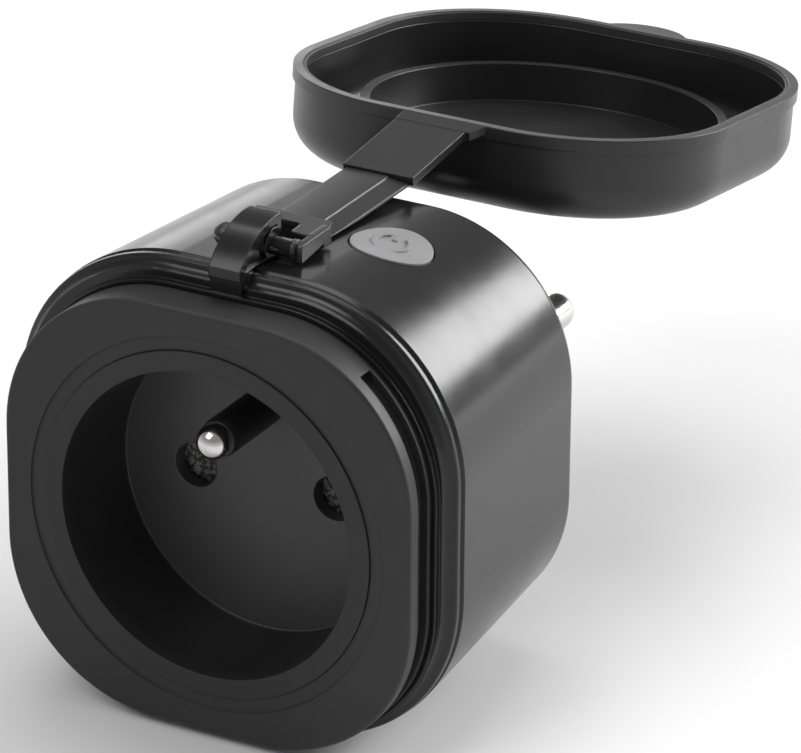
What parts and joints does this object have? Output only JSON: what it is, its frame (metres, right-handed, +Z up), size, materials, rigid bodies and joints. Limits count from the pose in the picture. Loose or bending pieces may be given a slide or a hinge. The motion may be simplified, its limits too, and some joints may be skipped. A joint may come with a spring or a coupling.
{
  "type": "smart plug",
  "caption": "Black outdoor smart plug: a rounded housing with a pin-earth mains socket in front, a weather lid on a hooked strap, a grey power button and a round mains plug behind.",
  "frame": {"origin": "on the axis of the rear plug, midway between its pins, in the plane of the housing's flat back, where the round plug base starts", "axes": "+Y points along the plug's pins into the wall; +X is to the right and +Z is up for someone facing the socket, so the lid's hinge is on the +Z side"},
  "size_m": [0.0594, 0.1185, 0.063],
  "materials": {
    "body_plastic": "satin black moulded plastic",
    "face_plastic": "fine matte black plastic",
    "well_plastic": "matte black plastic",
    "base_plastic": "matte black plastic",
    "lid_plastic": "satin black moulded plastic",
    "strap_plastic": "soft black thermoplastic",
    "seal_rubber": "soft black seal",
    "button_rubber": "matte grey",
    "shutter_plastic": "fine spark-textured dark plastic",
    "carrier_plastic": "glass-filled plastic",
    "white_plastic": "white plastic",
    "nickel": "nickel-plated brass, polished",
    "spring_steel": "drawn steel",
    "screw_steel": "zinc-plated steel",
    "contact_copper": "sprung copper alloy",
    "board_green": "solder mask",
    "board_blue": "solder mask",
    "relay_black": "moulded case",
    "core_yellow": "wound coil with yellow tape",
    "sleeve_blue": "shrunk sleeve",
    "film_orange": "boxed film capacitor",
    "varistor_blue": "epoxy coat",
    "fuse_green": "lacquer",
    "chip_black": "moulded package",
    "shield_steel": "tinned can",
    "shunt_steel": "metal strip",
    "led_clear": "clear"
  },
  "bodies": {
    "plug": {"rear_housing": "body_plastic", "plug_base": "base_plastic", "live_pin": "nickel", "neutral_pin": "nickel", "earth_clip_top": "nickel", "earth_clip_bottom": "nickel", "earth_sleeve": "nickel", "front_cover": "face_plastic", "socket_insert": "well_plastic", "hinge_collar": "body_plastic", "body_gasket": "seal_rubber", "neck_seal": "seal_rubber", "earth_pin": "nickel", "earth_pin_sleeve": "well_plastic", "shutter_spring": "spring_steel", "contact_carrier": "carrier_plastic", "live_contact": "contact_copper", "neutral_contact": "contact_copper", "earth_bar": "contact_copper", "live_busbar": "contact_copper", "neutral_busbar": "contact_copper", "main_board": "board_green", "relay": "relay_black", "transformer": "core_yellow", "bulk_capacitors": "sleeve_blue", "filter_capacitor": "film_orange", "rectifier": "chip_black", "varistor": "varistor_blue", "fuse_resistor": "fuse_green", "shunt_resistor": "shunt_steel", "metering_chip": "chip_black", "wifi_board": "board_blue", "wifi_shield": "shield_steel", "control_board": "board_green", "tact_switch": "chip_black", "status_led": "led_clear", "housing_screws": "screw_steel", "carrier_screws": "screw_steel"},
    "shutter": {"shutter": "shutter_plastic"},
    "button": {"button_cap": "button_rubber", "switch_plunger": "white_plastic"},
    "strap": {"strap_fork": "strap_plastic"},
    "lid": {"lid_shell": "lid_plastic", "lid_seal": "seal_rubber", "strap_end": "strap_plastic"}
  },
  "joints": [
    {"name": "shutter_slide", "type": "slide", "parent": "plug", "child": "shutter", "axis": [0, 0, -1], "range_m": [0, 0.0062], "stiffness_N_per_m": 150, "springref_m": -0.002, "deforming": ["shutter_spring"]},
    {"name": "button_press", "type": "slide", "parent": "plug", "child": "button", "axis": [-0.1315, 0, -0.9913], "range_m": [0, 0.0008], "stiffness_N_per_m": 1500, "springref_m": -0.0005},
    {"name": "strap_pivot", "type": "hinge", "parent": "plug", "child": "strap", "pos_m": [0, -0.0283, 0.0289], "axis": [1, 0, 0], "range_deg": [0, 128]},
    {"name": "strap_fold", "type": "hinge", "parent": "strap", "child": "lid", "pos_m": [0, -0.0054, 0.0274], "axis": [1, 0, 0], "range_deg": [0, 149.5]}
  ]
}
